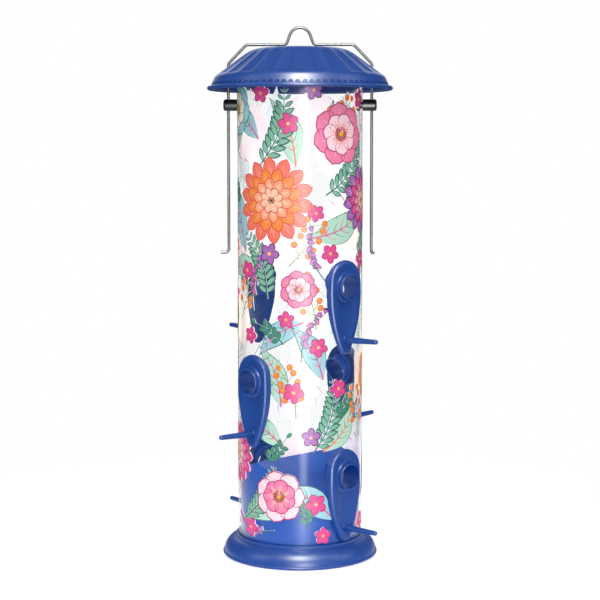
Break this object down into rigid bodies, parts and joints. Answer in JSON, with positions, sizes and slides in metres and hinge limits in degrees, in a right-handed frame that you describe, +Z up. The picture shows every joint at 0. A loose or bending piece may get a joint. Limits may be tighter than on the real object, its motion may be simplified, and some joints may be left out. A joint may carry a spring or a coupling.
{
  "type": "hanging tube bird feeder",
  "caption": "Clear floral-printed tube seed feeder with hooded perch ports, flared base, fluted rain lid and a wire bail that slides in side guides.",
  "frame": {"origin": "middle of the base rim's underside, on the surface that it stands on", "axes": "+Z up along the tube; -Y is the front; +X to the right, through the right-hand guide"},
  "size_m": [0.1506, 0.1506, 0.4315],
  "materials": {
    "clear_tube": "clear extruded plastic tube with a floral print",
    "blue_plastic": "glossy injection-moulded plastic",
    "black_plastic": "satin moulded plastic",
    "bail_wire": "bright galvanised spring wire",
    "screw_steel": "plated steel screws"
  },
  "bodies": {
    "feeder": {"tube": "clear_tube", "base_dish": "blue_plastic", "base_screws": "screw_steel", "seed_deflector": "blue_plastic", "port_bottom_front": "blue_plastic", "port_bottom_back": "blue_plastic", "port_middle_front": "blue_plastic", "port_middle_back": "blue_plastic", "port_top_front": "blue_plastic", "port_top_back": "blue_plastic", "ring_bottom_front": "blue_plastic", "ring_bottom_back": "blue_plastic", "ring_middle_front": "blue_plastic", "ring_middle_back": "blue_plastic", "ring_top_front": "blue_plastic", "ring_top_back": "blue_plastic", "guide_left": "black_plastic", "guide_right": "black_plastic", "guide_cap_left": "black_plastic", "guide_cap_right": "black_plastic"},
    "lid": {"lid": "blue_plastic"},
    "bail": {"bail": "bail_wire"}
  },
  "joints": [
    {"name": "lid_lift", "type": "slide", "parent": "feeder", "child": "lid", "axis": [0, 0, 1], "range_m": [0, 0.05]},
    {"name": "bail_slide", "type": "slide", "parent": "lid", "child": "bail", "axis": [0, 0, 1], "range_m": [0, 0.062]}
  ]
}
